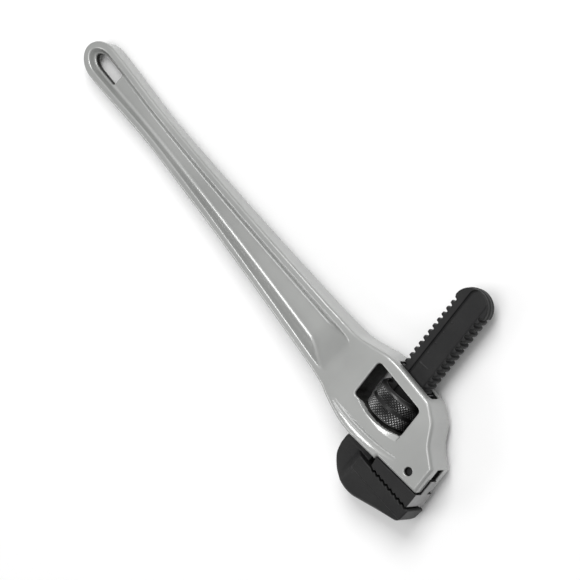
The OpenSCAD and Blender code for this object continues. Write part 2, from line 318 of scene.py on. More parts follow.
def turned(profile, turns, axisPoint, along, side):
    # a profile of (radius, distance along the axis) turned round the axis; the radius has a row
    # for each distance and a column for each angle
    angle = np.linspace(0, 2 * math.pi, turns, endpoint=False)
    third = np.cross(along, side)
    ring = np.cos(angle)[:, None] * side + np.sin(angle)[:, None] * third
    radius, distance = profile
    points = axisPoint + distance[:, None, None] * along + radius[..., None] * ring[None, :, :]
    return points.reshape(-1, 3)


def turnedPiece(name, profile, turns, axisPoint, along, side, material):
    # the profile's ends lie close to the axis, where the ring of points is small and is closed
    radius, distance = (np.array(column, float) for column in zip(*profile))
    radius = np.broadcast_to(radius[:, None], (len(radius), turns))
    points = turned((radius, distance), turns, axisPoint, along, side)
    faces = [tuple(face) for face in gridFaces(len(distance), turns).tolist()]
    last = (len(distance) - 1) * turns
    faces.append(tuple(range(turns - 1, -1, -1)))
    faces.append(tuple(range(last, last + turns)))
    mesh = bpy.data.meshes.new(name)
    mesh.from_pydata((points * mm).tolist(), [], faces)
    mesh.polygons.foreach_set("use_smooth", np.ones(len(faces), bool))
    mesh.materials.append(material)
    mesh.validate()
    mesh.set_sharp_from_angle(angle=math.radians(40))
    piece = bpy.data.objects.new(name, mesh)
    bpy.context.scene.collection.objects.link(piece)
    return piece


# ---- materials

def newGroup(name, inputs, outputs):
    group = bpy.data.node_groups.new(name, "ShaderNodeTree")
    for label, kind, value in inputs:
        socket = group.interface.new_socket(label, in_out="INPUT", socket_type=kind)
        socket.default_value = value
    for label, kind in outputs:
        group.interface.new_socket(label, in_out="OUTPUT", socket_type=kind)
    return group, group.nodes.new("NodeGroupInput"), group.nodes.new("NodeGroupOutput")


def noiseNode(tree, where, scale, detail=3.0, roughness=0.5):
    noise = tree.nodes.new("ShaderNodeTexNoise")
    noise.inputs["Scale"].default_value = scale
    noise.inputs["Detail"].default_value = detail
    noise.inputs["Roughness"].default_value = roughness
    tree.links.new(where, noise.inputs["Vector"])
    return noise.outputs["Fac"]


def rampNode(tree, value, low, high, toLow=0.0, toHigh=1.0):
    ramp = tree.nodes.new("ShaderNodeMapRange")
    ramp.inputs["From Min"].default_value = low
    ramp.inputs["From Max"].default_value = high
    ramp.inputs["To Min"].default_value = toLow
    ramp.inputs["To Max"].default_value = toHigh
    tree.links.new(value, ramp.inputs["Value"])
    return ramp.outputs["Result"]


def mathNode(tree, operation, a, b):
    node = tree.nodes.new("ShaderNodeMath")
    node.operation = operation
    for socket, value in zip(node.inputs, (a, b)):
        if isinstance(value, (int, float)):
            socket.default_value = value
        else:
            tree.links.new(value, socket)
    return node.outputs[0]


def mixNode(tree, share, a, b):
    node = tree.nodes.new("ShaderNodeMix")
    node.data_type = "RGBA"
    for socket, value in ((node.inputs["Factor"], share), (node.inputs["A"], a), (node.inputs["B"], b)):
        if isinstance(value, (int, float, tuple)):
            socket.default_value = value
        else:
            tree.links.new(value, socket)
    return node.outputs["Result"]


def buildSurfaceGrain():
    # three sizes of noise: blotches of tone, grain for the height, and a fine speckle
    group, start, end = newGroup("surfaceGrain", [
        ("Blotch Scale", "NodeSocketFloat", 12.0), ("Grain Scale", "NodeSocketFloat", 900.0),
        ("Speckle Scale", "NodeSocketFloat", 2500.0)],
        [("Blotch", "NodeSocketFloat"), ("Grain", "NodeSocketFloat"), ("Speckle", "NodeSocketFloat")])
    place = group.nodes.new("ShaderNodeTexCoord").outputs["Object"]
    for label, detail in (("Blotch", 3.0), ("Grain", 4.0), ("Speckle", 1.0)):
        noise = group.nodes.new("ShaderNodeTexNoise")
        noise.inputs["Detail"].default_value = detail
        group.links.new(place, noise.inputs["Vector"])
        group.links.new(start.outputs[label + " Scale"], noise.inputs["Scale"])
        group.links.new(noise.outputs["Fac"], end.inputs[label])
    return group


def buildEdgeWear():
    # rubbed places: convex edges from the surface's pointiness, broken up by noise
    group, start, end = newGroup("edgeWear", [
        ("From", "NodeSocketFloat", 0.52), ("To", "NodeSocketFloat", 0.6),
        ("Patch Scale", "NodeSocketFloat", 90.0)],
        [("Wear", "NodeSocketFloat")])
    place = group.nodes.new("ShaderNodeTexCoord").outputs["Object"]
    pointed = group.nodes.new("ShaderNodeNewGeometry").outputs["Pointiness"]
    patches = group.nodes.new("ShaderNodeTexNoise")
    group.links.new(place, patches.inputs["Vector"])
    group.links.new(start.outputs["Patch Scale"], patches.inputs["Scale"])
    edge = group.nodes.new("ShaderNodeMapRange")
    group.links.new(pointed, edge.inputs["Value"])
    group.links.new(start.outputs["From"], edge.inputs["From Min"])
    group.links.new(start.outputs["To"], edge.inputs["From Max"])
    broken = rampNode(group, patches.outputs["Fac"], 0.4, 0.62)
    group.links.new(mathNode(group, "MULTIPLY", edge.outputs["Result"], broken), end.inputs["Wear"])
    return group


def newMaterial(name, metallic, specular=0.5, coat=0.0):
    material = bpy.data.materials.new(name)
    material.use_nodes = True
    shader = material.node_tree.nodes["Principled BSDF"]
    shader.inputs["Metallic"].default_value = metallic
    shader.inputs["Specular IOR Level"].default_value = specular
    shader.inputs["Coat Weight"].default_value = coat
    shader.inputs["Coat Roughness"].default_value = 0.1
    shader.inputs["Coat IOR"].default_value = 1.75
    return material, material.node_tree, shader


def placeGroup(tree, group, values):
    node = tree.nodes.new("ShaderNodeGroup")
    node.node_tree = group
    for label, value in values.items():
        node.inputs[label].default_value = value
    return node.outputs


def placeGrain(tree, blotch, grain, speckle):
    return placeGroup(tree, surfaceGrain,
                      {"Blotch Scale": blotch, "Grain Scale": grain, "Speckle Scale": speckle})


def placeWear(tree, low, high, patches):
    return placeGroup(tree, edgeWear, {"From": low, "To": high, "Patch Scale": patches})["Wear"]


def mottled(tree, grain, high, dark, light):
    # two colours of the finish in blotches
    return mixNode(tree, rampNode(tree, grain["Blotch"], 0.35, high), finish[dark], finish[light])


def finishSurface(tree, shader, tone, rough, height, distance, strength):
    # the height's bump is that many metres deep
    tree.links.new(tone, shader.inputs["Base Color"])
    tree.links.new(rough, shader.inputs["Roughness"])
    bump = tree.nodes.new("ShaderNodeBump")
    bump.inputs["Strength"].default_value = strength
    bump.inputs["Distance"].default_value = distance
    tree.links.new(height, bump.inputs["Height"])
    tree.links.new(bump.outputs["Normal"], shader.inputs["Normal"])


surfaceGrain = buildSurfaceGrain()
edgeWear = buildEdgeWear()

finish = {
    "coat": (0.285, 0.29, 0.283, 1),
    "coatLight": (0.33, 0.335, 0.327, 1),
    "coatSpeck": (0.25, 0.25, 0.25, 1),
    "bareMetal": (0.5, 0.5, 0.49, 1),
    # dark tones of the painted shade inside the head and the hanging slot
    "shadeInside": (0.012, 0.012, 0.011, 1),
    "shadeInsideLight": (0.03, 0.03, 0.028, 1),
    "black": (0.007, 0.007, 0.0074, 1),
    "blackLight": (0.012, 0.012, 0.012, 1),
    "rubbed": (0.06, 0.06, 0.06, 1),
    "knurl": (0.02, 0.02, 0.02, 1),
    "knurlLight": (0.035, 0.035, 0.035, 1),
    # light tips of the knurl: wear and a painted glint
    "knurlTipWearAndGlint": (0.3, 0.3, 0.3, 1),
    "ground": (0.36, 0.36, 0.36, 1),
    "groundDark": (0.22, 0.22, 0.22, 1),
    "spring": (0.05, 0.05, 0.055, 1),
    "springLight": (0.1, 0.1, 0.1, 1),
    "floor": (0.86, 0.86, 0.86, 1),
    "floorLight": (0.89, 0.89, 0.89, 1),
}


def castCoatMaterial():
    # silver coat on a fine cast surface, rubbed to bare metal on the sharpest edges
    material, tree, shader = newMaterial("silverCoatOnCasting", 0.35, 0.4, 0.9)
    grain = placeGrain(tree, 14.0, 700.0, 3000.0)
    wear = mathNode(tree, "MULTIPLY", placeWear(tree, 0.53, 0.6, 80.0), 0.5)
    tone = mixNode(tree, wear, mottled(tree, grain, 0.65, "coat", "coatLight"), finish["bareMetal"])
    specks = rampNode(tree, grain["Speckle"], 0.3, 0.7, 0.0, 0.08)
    tone = mixNode(tree, specks, tone, finish["coatSpeck"])
    rough = rampNode(tree, grain["Blotch"], 0.3, 0.7, 0.42, 0.5)
    finishSurface(tree, shader, tone, rough, grain["Grain"], 0.00004, 0.5)
    return material


def blackSteelMaterial():
    # black phosphate on forged steel, a little lighter where hands and tools rub it
    material, tree, shader = newMaterial("blackForgedSteel", 0.2, 0.3)
    grain = placeGrain(tree, 40.0, 1100.0, 2600.0)
    wear = mathNode(tree, "MULTIPLY", placeWear(tree, 0.53, 0.64, 160.0), 0.6)
    tone = mixNode(tree, wear, mottled(tree, grain, 0.7, "black", "blackLight"), finish["rubbed"])
    specks = rampNode(tree, grain["Speckle"], 0.55, 0.75, 0.0, 0.3)
    tone = mixNode(tree, specks, tone, finish["rubbed"])
    rough = rampNode(tree, grain["Grain"], 0.3, 0.7, 0.42, 0.6)
    finishSurface(tree, shader, tone, rough, grain["Grain"], 0.00006, 0.6)
    return material


def paintedShadeInsideMaterial():
    # painted shade on the insides of the head and the walls of the hanging slot, as a dark material
    material, tree, shader = newMaterial("paintedShadeInsideOfCasting", 0.2, 0.25)
    grain = placeGrain(tree, 70.0, 900.0, 2600.0)
    tone = mottled(tree, grain, 0.7, "shadeInside", "shadeInsideLight")
    rough = rampNode(tree, grain["Grain"], 0.3, 0.7, 0.4, 0.65)
    finishSurface(tree, shader, tone, rough, grain["Grain"], 0.00006, 0.6)
    return material


def knurledSteelMaterial():
    # dark oiled steel whose knurl tips are lightened, as wear and as a painted glint
    material, tree, shader = newMaterial("knurledDarkSteel", 0.6, 0.6)
    grain = placeGrain(tree, 60.0, 1100.0, 2600.0)
    # the pointed tips of the knurl take the light colour: wear, and a painted glint
    wear = placeWear(tree, 0.505, 0.56, 60.0)
    tone = mixNode(tree, wear, mottled(tree, grain, 0.7, "knurl", "knurlLight"), finish["knurlTipWearAndGlint"])
    rough = rampNode(tree, grain["Grain"], 0.3, 0.7, 0.26, 0.4)
    finishSurface(tree, shader, tone, rough, grain["Grain"], 0.00003, 0.4)
    return material


def groundSteelMaterial():
    # bare steel ground across the end of the heel jaw: noise stretched into fine lines
    material, tree, shader = newMaterial("groundSteel", 0.85)
    place = tree.nodes.new("ShaderNodeTexCoord").outputs["Object"]
    stretch = tree.nodes.new("ShaderNodeMapping")
    stretch.inputs["Scale"].default_value = (1.0, 0.06, 1.0)
    tree.links.new(place, stretch.inputs["Vector"])
    lines = noiseNode(tree, stretch.outputs["Vector"], 2200.0, 2.0)
    blotch = rampNode(tree, noiseNode(tree, place, 120.0, 3.0), 0.45, 0.7, 0.0, 0.5)
    tone = mixNode(tree, rampNode(tree, lines, 0.35, 0.65), finish["groundDark"], finish["ground"])
    tone = mixNode(tree, blotch, tone, finish["groundDark"])
    rough = rampNode(tree, lines, 0.3, 0.7, 0.3, 0.5)
    finishSurface(tree, shader, tone, rough, lines, 0.00003, 0.5)
    return material


def springSteelMaterial():
    material, tree, shader = newMaterial("bluedSpringSteel", 0.8)
    grain = placeGrain(tree, 120.0, 1500.0, 3000.0)
    tone = mottled(tree, grain, 0.7, "spring", "springLight")
    rough = rampNode(tree, grain["Grain"], 0.3, 0.7, 0.3, 0.45)
    finishSurface(tree, shader, tone, rough, grain["Grain"], 0.00003, 0.4)
    return material


def floorMaterial():
    material, tree, shader = newMaterial("paleFloor", 0.0, 0.1)
    place = tree.nodes.new("ShaderNodeTexCoord").outputs["Object"]
    share = rampNode(tree, noiseNode(tree, place, 3.0), 0.3, 0.7)
    tone = mixNode(tree, share, finish["floor"], finish["floorLight"])
    tree.links.new(tone, shader.inputs["Base Color"])
    shader.inputs["Roughness"].default_value = 0.95
    return material


castCoat = castCoatMaterial()
paintedShadeInside = paintedShadeInsideMaterial()
blackSteel = blackSteelMaterial()
knurledSteel = knurledSteelMaterial()
groundSteel = groundSteelMaterial()
springSteel = springSteelMaterial()
print("materials made")


# ---- the casting: handle and head in one

castingSize = {
    "drop": 10.9,             # handle's centre line below the nut's centre
    "reach": origin[0] - housingLow[0],
    "nose": 27.0,
    "endHalf": 20.0,
    "waistHalf": 17.5,
    "rootHalf": 28.5,
    "waistAt": 128.0,
    "rootAt": 421.0,
    "thick": [(0, 11.25), (44, 11.25), (128, 9.75), (421, 16.5), (464, 20.0), (700, 20.0)],
    "flange": 7.6,
    "web": 3.75,
    "draft": 0.56,
    "wallFillet": 2.6,
    "recessTo": 452.0,
    "rampFrom": 398.0,
    "rampTo": 450.0,
    "slotTo": 50.5,
    "edge": 3.0,
    "slotHalf": 7.2,
    "slotTop": -16.5,
    "pinHole": 4.35,
    "pinAt": (59.0, -34.2),
    "passageHalf": 10.5,
    "rackWay": (3.0, 24.5, 5.0),          # middle, half width, corner
    "jawWay": (-0.4, 22.4, 2.0),
    "leafPocket": (23.4, 4.4, -20.5, 6.0),  # middle and half in u, then in v
    "leafPocketHalf": 6.0,
    "coilPocket": (-31.0, 9.8, -33.0, 5.25),  # middle and half in u, then v and radius
    "headFrom": 440.0,
    "headEdgeMore": 0.9,
    "belowWindow": -15.4,
    "windowEdge": 1.3,
}
fluteSize = {
    # long shallow cove beside the window: a parabola across, which fades towards its two ends
    "radius": 7.2,
    "depth": 1.5,
    "middle": -3.0,
    "half": 48.0,
    "line": -39.8,
    "bend": 0.0026,
}
dishSize = {
    # curved fall of the window's lower side, beyond a circle, and a bevel that leads into it
    "radius": 66.0,
    "at": (1.5, 43.0),
    "fall": 1.7,
    "rise": 0.45,
    "bevelShift": (7.0, 2.5),
    "bevelMore": 4.5,
}


def handleHalf(d):
    # half width against the distance from the end: an ellipse, eased in to the waist, then widening
    size = castingSize
    eased = (1 - np.cos(math.pi * np.clip((d - size["nose"]) / (size["waistAt"] - size["nose"]), 0, 1))) / 2
    widening = np.clip((d - size["waistAt"]) / (size["rootAt"] - size["waistAt"]), 0, 1) ** 1.5
    toWaist = (size["waistHalf"] - size["endHalf"]) * eased
    return size["endHalf"] + toWaist + (size["rootHalf"] - size["waistHalf"]) * widening


def castingOutline():
    size = castingSize
    nose = size["nose"] * (1 - np.cos(np.linspace(0, math.pi / 2, 22)))
    along = np.concatenate([nose, np.arange(size["nose"] + 6, 398, 6.0)])
    noseShare = 1 - np.minimum(along, size["nose"]) / size["nose"]
    half = handleHalf(along) * np.sqrt(np.clip(1 - noseShare ** 2, 0, 1))
    x = along - size["reach"]
    lower = np.stack([x, -size["drop"] - half], 1)
    upper = np.stack([x, -size["drop"] + half], 1)
    jawSide = [toHandle(u, v) for u, v in ((-74, -32.6), (-59.5, -38.0), (-45, -43.2), (-30, -47.6),
                                           (-14, -49.7), (-4, -49.8))]
    rackSide = [toHandle(u, v) for u, v in ((-8, 35.95), (-22, 36.9), (-32, 36.4), (-43, 34.0),
                                            (-54, 31.3), (-66, 29.0), (-78, 28.3))]
    lowerCurve = curveThrough([lower[-3], lower[-1]] + jawSide)[8:]
    upperCurve = curveThrough(rackSide + [upper[-1], upper[-3]])[:-8]
    side, seat, end = jawSize["side"], jawSize["seat"], jawSize["end"]
    corners = roundedOutline([
        (0, side, 0), (jawSize["heelFrom"] - 0.6, side, 1.2), (jawSize["heelFrom"], seat, 0),
        (end, seat, 1.6), (end, -16, 2.0), (60, -1, 30), (49, 18.5, 20), (33, 31.07, 20), (2, 34.76, 0)])
    corners = np.stack(toHandle(corners[:, 0], corners[:, 1]), 1)
    return np.vstack([lower[:-2], lowerCurve, corners, upperCurve, upper[:-2][:0:-1]])


windowSize = {
    "from": -34.4,
    "to": 30.3,
    "low": -16.0,
    "high": 21.9,           # where the upper side, parallel to the handle, meets u = 0
    "firstCorner": 3.5,
    "corner": 4.5,
}


def windowOutline():
    size = windowSize
    lean = leanSin / leanCos
    return roundedOutline([
        (size["from"], size["low"], size["firstCorner"]), (size["to"], size["low"], size["corner"]),
        (size["to"], size["high"] - size["to"] * lean, size["corner"]),
        (size["from"], size["high"] - size["from"] * lean, size["corner"])])


castingPlan = distanceTable(castingOutline())
windowPlan = distanceTable(windowOutline())


def boxDistance(a, b, halfA, halfB, radius):
    # rounded rectangle about the middle
    qa = np.abs(a) - halfA + radius
    qb = np.abs(b) - halfB + radius
    return np.hypot(np.maximum(qa, 0), np.maximum(qb, 0)) + np.minimum(np.maximum(qa, qb), 0) - radius


def headRoof(u, v, top):
    # height of the head's side with the flute, the dish and its bevel cut into it
    flute, dish = fluteSize, dishSize
    along = (u - flute["middle"]) / flute["half"]
    centre = flute["line"] + flute["bend"] * (u - flute["middle"]) ** 2
    cove = top - flute["depth"] * (1 - along ** 2) + (v - centre) ** 2 / (2 * flute["radius"])
    du, dv = u - dish["at"][0], v - dish["at"][1]
    beyond = np.hypot(du, dv) - dish["radius"]
    bowl = top + dish["fall"] * np.minimum(beyond, 12)
    shiftU, shiftV = dish["bevelShift"]
    easing = np.hypot(du - shiftU, dv - shiftV) - dish["radius"] - dish["bevelMore"]
    bevel = top + dish["rise"] * np.minimum(easing, 12) + 12 * smoothStep((np.abs(u - 3) - 26.5) / 4)
    return np.minimum(cove, np.minimum(bowl, bevel))


def handleHollow(y, z, d, plan, top):
    # recess of the handle: drafted walls, filleted floor, which ramps up to the head, and the
    # slot of the hanging loop
    size = castingSize
    across = y + size["drop"]
    ramp = smoothStep((d - size["rampFrom"]) / (size["rampTo"] - size["rampFrom"]))
    floor = size["web"] + (top + 1.5 - size["web"]) * ramp
    inset = np.where(d < 60, plan + size["flange"], np.abs(across) - handleHalf(d) + size["flange"])
    inset = roundedMax(inset, d - size["recessTo"], 16)
    wall = (inset + size["draft"] * (top - z)) / math.hypot(1, size["draft"])
    hollow = roundedMax(wall, floor - z, size["wallFillet"])
    slot = roundedMax(inset + size["draft"] * (top - size["web"]) + 0.6, d - size["slotTo"], 1.5)
    return np.minimum(hollow, slot)


def shankWays(u, v, z):
    # the shank's way through the head: one width above the nut, another below it
    rack, jaw = castingSize["rackWay"], castingSize["jawWay"]
    rackWay = boxDistance(u - rack[0], z, rack[1], castingSize["passageHalf"], rack[2])
    jawWay = boxDistance(u - jaw[0], z, jaw[1], castingSize["passageHalf"], jaw[2])
    return np.minimum(np.maximum(rackWay, -v), np.maximum(jawWay, v))


def castingField(x, y, z):
    size = castingSize
    x, y, z = np.broadcast_arrays(x, y, np.abs(z))
    u, v = toHead(x, y)
    d = x + size["reach"]
    thickAt, thickness = zip(*size["thick"])
    top = sum(np.interp(d + shift, thickAt, thickness) for shift in (-9, 0, 9)) / 3
    # handle and head, with a larger radius on the edges of the head
    plan = castingPlan(x, y)
    edge = size["edge"] + size["headEdgeMore"] * smoothStep((d - size["headFrom"]) / 40)
    cut = (d > 400) & (v < size["belowWindow"])
    roof = np.where(cut, np.minimum(top, headRoof(u, v, top)), top)
    solid = roundedMax(plan, z - roof, edge)
    solid = roundedMax(solid, -handleHollow(y, z, d, plan, top), 1.1)
    solid = roundedMax(solid, -windowPlan(u, v), size["windowEdge"])
    solid = roundedMax(solid, -shankWays(u, v, z), 0.7)
    # slot for the heel jaw's tongue, pin hole, spring pockets
    tongueSlot = np.maximum(np.maximum(z - size["slotHalf"], 40 - u), v - size["slotTop"])
    solid = roundedMax(solid, -tongueSlot, 0.5)
    pinHole = np.hypot(u - size["pinAt"][0], v - size["pinAt"][1]) - size["pinHole"]
    solid = roundedMax(solid, -pinHole, 0.8)
    leafU, leafHalfU, leafV, leafHalfV = size["leafPocket"]
    leafPlan = np.maximum(np.abs(u - leafU) - leafHalfU, np.abs(v - leafV) - leafHalfV)
    leafPocket = np.maximum(z - size["leafPocketHalf"], leafPlan)
    coilU, coilHalf, coilV, coilRadius = size["coilPocket"]
    coilPocket = np.maximum(np.hypot(v - coilV, z) - coilRadius, np.abs(u - coilU) - coilHalf)
    return np.maximum(solid, -np.minimum(leafPocket, coilPocket))


def buildCasting():
    size = castingSize
    start = -size["reach"]
    xs = spaced((start - 2.5, start + 56, 1.0), (start + 56, start + 398, 4.0), (start + 398, 84, 1.0))
    ys = spaced((-66, 42, 1.0))
    zs = spaced((-21.5, 21.5, 1.0))
    points, faces, slope = netSurface(castingField, xs, ys, zs)
    middle = points[faces].mean(1)
    u, v = toHead(middle[:, 0], middle[:, 1])
    depth = np.abs(middle[:, 2])
    plan = castingPlan(middle[:, 0], middle[:, 1])
    # faces inside the window, the ways, the pockets and the hanging slot get the dark material as painted shade;
    # the lower fall of the dish is darkened with it too, while its upper band keeps the coat
    inDish = (v < -16.2) & (np.abs(u) < 32) & (depth > 16.5)
    dark = (middle[:, 0] > -50) & (plan < -1.2) & (depth < 18.3) & ~inDish
    dark |= (middle[:, 0] < size["slotTo"] + 0.6 - size["reach"]) & (plan < -8) & (depth < 3.2)
    piece = makePiece("cast_housing", fromHandle(points), faces, [castCoat, paintedShadeInside], slope, dark)
    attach(piece, "housing")
    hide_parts("handle_housing")
    print("casting:", len(points), "points", len(faces), "faces")


buildCasting()


# ---- hook jaw: threaded shank and toothed hook in one forging

hookSize = {
    "tip": (83.6, -64.4),
    "padFrom": 10.5,
    "ridge": -72.4,
    "ridgeFall": 0.055,
    "padFillet": 11.5,
    "slopeReach": 23.0,
    "edge": 1.3,
    "backEdge": 3.2,          # added to the edge's radius towards the back
    "tipRise": 0.2,           # the teeth reach this far past their line, towards the heel jaw
}


def toothLine(u):
    start = jawSize["seat"] - jawSize["gap"] - jawSize["heelThick"]
    return start - (u - jawSize["toothFrom"]) * jawSize["slope"]


def toothPoints(startHeight, turnHeight):
    # saw teeth: from one height above the tooth line to another in the first part of each pitch, then back
    start, end = jawSize["toothFrom"], jawSize["toothTo"]
    count = int((end - start) / jawSize["toothPitch"])
    pitch = (end - start) / count
    at = start + pitch * np.arange(count)
    turn = at + 0.65 * pitch
    first = np.stack([at, toothLine(at) + startHeight], 1)
    second = np.stack([turn, toothLine(turn) + turnHeight], 1)
    return np.stack([first, second], 1).reshape(-1, 2)


def hookOutline():
    tipU, tipV = hookSize["tip"]
    gap = jawSize["gap"]
    return roundedOutline([
        (-18, toothLine(-18) - gap, 0), (-18, tipV - 32.6, 36), (24, tipV - 33.6, 30),
        (tipU - 2.3, tipV - 16, 9), (tipU, toothLine(tipU) - gap, 1.5)])


def toothCutOutline():
    # what the teeth leave free above them, up to 1 mm over the tooth line
    start, end = jawSize["toothFrom"], jawSize["toothTo"]
    tips = hookSize["tipRise"] - jawSize["gap"]
    return np.vstack([
        [[start, toothLine(start) + 1]], toothPoints(tips, -jawSize["gap"] - jawSize["toothDepth"]),
        [[end, toothLine(end) + tips], [end, toothLine(end) + 1]]])


hookPlan = distanceTable(hookOutline())
toothCutPlan = distanceTable(toothCutOutline())


def threadRadius(u, v, z):
    # radius of the rounded thread: crests follow a helix, one pitch up for one turn
    size = shankSize
    turn = (v - size["phase"] + 0.25 * size["pitch"]) / size["pitch"] - np.arctan2(z, -u) / (2 * math.pi)
    wave = 0.5 + 0.72 * np.cos(2 * math.pi * (turn - 0.25))
    return size["root"] + (size["crest"] - size["root"]) * smoothStep(wave)


def shankField(u, v, z):
    size = shankSize
    fromAxis = np.hypot(u, z)
    thread = (fromAxis - threadRadius(u, v, z)) * 0.55
    plain = fromAxis - size["footRadius"]
    foot = smoothStep((size["threadFrom"] - v) / 2.0)
    body = thread * (1 - foot) + plain * foot
    # the round end is a disc with a ridge round its middle and a groove on each side of the ridge
    past = np.maximum(v - size["threadTo"], 0) * size["crest"] / size["domeRise"]
    disc = np.hypot(u, past) - size["crest"] + 0.012 * z ** 2
    disc = disc + 0.7 * np.exp(-((np.abs(z) - size["ridgeSide"]) / 1.5) ** 2)
    toDome = smoothStep((v - size["threadTo"] + 1.5) / 2.0)
    body = body * (1 - toDome) + disc * toDome
    # sunk panel on each flat with a round end, and a groove along its edge on the handle's side
    halfLength = (size["threadTo"] + 8) / 2
    panelMiddle = (size["panelFrom"] + size["panelTo"]) / 2
    panel = boxDistance(u - panelMiddle, v - halfLength - 5, size["panelTo"] - panelMiddle,
                        halfLength + 6, size["panelCorner"])
    flat = size["half"] - size["panelDepth"] * smoothStep(-panel / 0.9 + 0.5)
    flat = flat - 0.9 * np.exp(-((panel + 0.7) / 0.75) ** 2) * smoothStep((3 - u) / 6)
    # a long graduation line and short ticks, standing a little above the panel
    fromLine = v - size["markLine"]
    toTick = np.abs((fromLine / size["markPitch"] + 0.5) % 1 - 0.5) * size["markPitch"]
    mark = (v > size["markFrom"]) & (v < size["markTo"]) & (u > -6.0)
    mark = mark & (u < np.where(np.abs(fromLine) < 3, 5.5, -3.0))
    flat = flat + np.where(mark, size["markHeight"] * smoothStep(1.4 - toTick / 0.5), 0)
    return roundedMax(body, np.abs(z) - flat, size["edge"])


def hookField(u, v, z):
    size = hookSize
    u, v, z = np.broadcast_arrays(u, v, z)
    shank = np.maximum(shankField(u, v, z), shankSize["footTo"] - v)
    # half thickness of the hook: full on the pad, a concave blend to the neck, a slope to the back
    ridge = size["ridge"] - size["ridgeFall"] * (u - 16)
    left = np.clip((size["padFrom"] - u) / size["padFillet"], 0, 1)
    low = np.clip((ridge - v) / size["slopeReach"], 0, 1)
    rise = jawSize["hookHalf"] - shankSize["half"]
    fromNeck = shankSize["half"] + rise * (1 - left) ** 1.8
    # the back falls in one small step at the ridge and then along a slope
    fromBack = jawSize["hookHalf"] - rise * (0.12 * smoothStep((ridge - v) / 1.2) + 0.88 * low)
    half = softMin(fromNeck, fromBack, 4.5 - 3.3 * smoothStep((u - size["padFrom"]) / 8))
    plan = roundedMax(hookPlan(u, v) + 0.15, -toothCutPlan(u, v), 0.3)
    edge = size["edge"] + size["backEdge"] * smoothStep((ridge - 3 - v) / 12)
    hook = roundedMax(plan, (np.abs(z) - half) * 0.85, edge)
    return roundedMin(hook, shank, 1.2)


def buildHookJaw():
    us = spaced((-24, 86, 0.8))
    vs = spaced((-99, 147, 0.8))
    zs = spaced((-20, 20, 0.8))
    points, faces, slope = netSurface(hookField, us, vs, zs)
    piece = makePiece("forged_hook_jaw", fromHead(points), faces, blackSteel, fromHeadSlope(slope))
    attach(piece, "jaw")
    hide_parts("hook_jaw")
    print("hook jaw:", len(points), "points", len(faces), "faces")


buildHookJaw()


# ---- heel jaw: toothed plate with a tongue that the pin holds

heelSize = {
    "edge": 0.7,
    "tongueHalf": 6.6,
    "tongueFrom": 42.0,
    "tongueTop": -25.0,
    "tongueStep": 4.8,
    "pinHole": 4.35,
}


def heelField(u, v, z):
    size = heelSize
    u, v, z = np.broadcast_arrays(u, v, z)
    plate = roundedMax(heelPlan(u, v), np.abs(z) - jawSize["heelHalf"], size["edge"])
    top = np.where(u < jawSize["end"] - 8, size["tongueTop"], size["tongueTop"] - size["tongueStep"])
    middle = (size["tongueFrom"] + jawSize["toothTo"]) / 2
    half = (jawSize["toothTo"] - size["tongueFrom"]) / 2
    tonguePlan = boxDistance(u - middle, v + 60, half, top + 60, 0.6)
    tongue = roundedMax(tonguePlan, np.abs(z) - size["tongueHalf"], 0.6)
    tongue = np.maximum(tongue, jawSize["seat"] - 2 - v)
    solid = roundedMin(plate, tongue, 0.5)
    hole = np.hypot(u - castingSize["pinAt"][0], v - castingSize["pinAt"][1]) - size["pinHole"]
    return np.maximum(solid, -hole)


def heelOutline():
    top = jawSize["seat"] - jawSize["gap"]
    end = jawSize["toothTo"]
    return np.vstack([
        [[jawSize["heelFrom"], top], [jawSize["toothFrom"] - 0.4, top - jawSize["heelThick"]]],
        toothPoints(jawSize["toothDepth"], 0),
        [[end, toothLine(end) + jawSize["toothDepth"]], [end, top]]])


heelPlan = distanceTable(heelOutline(), 0.4, 30)


def buildHeelJaw():
    us = spaced((22, 82, 0.7))
    vs = spaced((-65, -23, 0.7))
    zs = spaced((-20.3, 20.3, 0.7))
    points, faces, slope = netSurface(heelField, us, vs, zs)
    middle = points[faces].mean(1)
    bareEnd = (middle[:, 0] > jawSize["toothTo"] - 0.45).astype(int)
    piece = makePiece("forged_heel_jaw", fromHead(points), faces, [blackSteel, groundSteel],
                      fromHeadSlope(slope), bareEnd)
    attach(piece, "housing")
    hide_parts("heel_jaw")
    print("heel jaw:", len(points), "points", len(faces), "faces")


buildHeelJaw()


# ---- adjusting nut with two knurled bands

nutSize = {
    "radius": 24.8,
    "half": 15.0,
    "bore": 20.6,
    "knurls": 42,
    "knurlDepth": 1.0,
    "upperBand": (0.6, 11.2),
    "lowerBand": (-13.6, -2.6),
    "groove": 0.7,
    "lowerRound": 1.15,
    "lowerFrom": -13.6,
    "taper": 2.4,
    "taperFrom": 11.6,
    "boreChamfer": 1.2,
}


